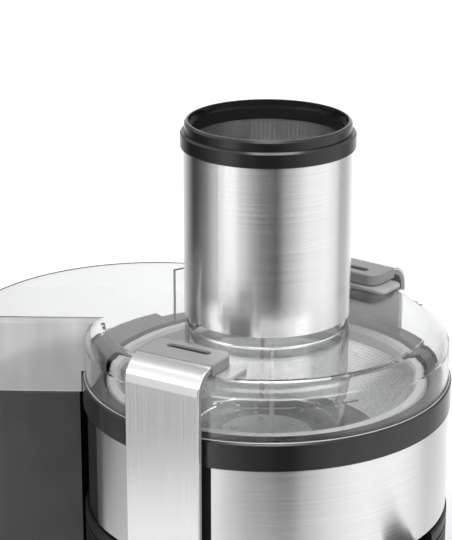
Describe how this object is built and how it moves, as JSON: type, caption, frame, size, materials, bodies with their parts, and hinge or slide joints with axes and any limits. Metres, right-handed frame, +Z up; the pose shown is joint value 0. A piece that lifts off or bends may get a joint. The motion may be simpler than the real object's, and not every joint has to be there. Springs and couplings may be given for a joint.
{
  "type": "centrifugal juicer",
  "caption": "Upright centrifugal juicer with a wide steel-clad feed tube, clear lid, two strap clips, pulp container and swivelling juice nozzle.",
  "frame": {"origin": "on the machine's axis, on the table, at the foot ring's lower face", "axes": "+Z up along the machine's axis, +X towards the juice spout, -X towards the pulp container, -Y the front with the speed dial"},
  "size_m": [0.281, 0.2292, 0.3938],
  "materials": {
    "rubber": "matt moulded rubber",
    "black_matte": "fine matt texture",
    "black_satin": "satin moulded",
    "black_gloss": "polished",
    "container_plastic": "satin moulded",
    "inner_plastic": "plain moulded",
    "circuit_board": "lacquered board",
    "brushed_steel": "brushed around the axis",
    "strap_steel": "brushed along the strap",
    "mesh_steel": "etched sheet",
    "bearing_steel": "ground",
    "screw_steel": "zinc plated",
    "motor_iron": "stacked sheet",
    "cast_metal": "as cast",
    "copper": "enamelled wire",
    "carbon": "pressed carbon",
    "clear_plastic": "clear, polished",
    "basket_plastic": "translucent white",
    "grey_plastic": "satin grey",
    "pointer_white": "plain"
  },
  "bodies": {
    "base": {"foot_ring": "rubber", "base_plate": "black_matte", "base_screws": "screw_steel", "base_skirt": "black_matte", "housing_shell": "black_matte", "housing_wrap": "brushed_steel", "inlet_plate": "black_matte", "top_deck": "black_satin", "dial_bezel": "black_gloss", "rotary_switch": "inner_plastic", "control_board": "circuit_board", "safety_switches": "inner_plastic", "cable_gland": "rubber", "motor_stator": "motor_iron", "field_coils": "copper", "motor_bracket_lower": "cast_metal", "motor_bracket_upper": "cast_metal", "lower_bearing": "bearing_steel", "upper_bearing": "bearing_steel", "brush_holders": "inner_plastic", "carbon_brushes": "carbon", "tie_bolts": "screw_steel", "rubber_dampers": "rubber", "shaft_seal": "rubber", "bowl_shell": "black_satin", "bowl_band_spout": "brushed_steel", "bowl_band_front": "brushed_steel", "bowl_band_rear": "brushed_steel", "bowl_rim": "black_gloss", "juice_spout": "black_satin", "lid": "clear_plastic", "feed_tube": "clear_plastic", "tube_sleeve": "brushed_steel", "feed_collar": "black_gloss", "clip_front_bracket": "black_matte", "clip_front_pin": "bearing_steel", "clip_rear_bracket": "black_matte", "clip_rear_pin": "bearing_steel"},
    "basket": {"motor_shaft": "bearing_steel", "armature": "motor_iron", "armature_winding": "copper", "commutator": "copper", "cooling_fan": "inner_plastic", "drive_coupling": "inner_plastic", "basket_hub": "black_satin", "grater_disc": "mesh_steel", "hub_plate": "basket_plastic", "hub_rivets": "screw_steel", "filter_screen": "mesh_steel", "basket_frame": "basket_plastic", "basket_rim": "basket_plastic"},
    "clip_front": {"clip_front_strap": "strap_steel", "clip_front_arm": "grey_plastic"},
    "clip_rear": {"clip_rear_strap": "strap_steel", "clip_rear_arm": "grey_plastic"},
    "dial": {"dial_shaft": "inner_plastic", "dial_knob": "black_satin", "dial_pointer": "pointer_white"},
    "nozzle": {"spout_nozzle": "black_satin"},
    "container": {"pulp_container": "container_plastic"}
  },
  "joints": [
    {"name": "basket_spin", "type": "hinge", "parent": "base", "child": "basket", "pos_m": [0, 0, 0.2], "axis": [0, 0, 1], "continuous": true},
    {"name": "clip_front_hinge", "type": "hinge", "parent": "base", "child": "clip_front", "pos_m": [0.00747, -0.09491, 0.148], "axis": [0.9969, 0.0785, 0], "range_deg": [0, 80]},
    {"name": "clip_rear_hinge", "type": "hinge", "parent": "base", "child": "clip_rear", "pos_m": [0.00249, 0.09517, 0.148], "axis": [-0.9997, 0.0262, 0], "range_deg": [0, 80]},
    {"name": "dial_turn", "type": "hinge", "parent": "base", "child": "dial", "pos_m": [0, -0.105, 0.088], "axis": [0, 1, 0], "range_deg": [-45, 90]},
    {"name": "nozzle_turn", "type": "hinge", "parent": "base", "child": "nozzle", "pos_m": [0.115, 0, 0.175], "axis": [1, 0, 0], "range_deg": [0, 180]},
    {"name": "container_slide", "type": "slide", "parent": "base", "child": "container", "axis": [-1, 0, 0], "range_m": [0, 0.12]}
  ]
}
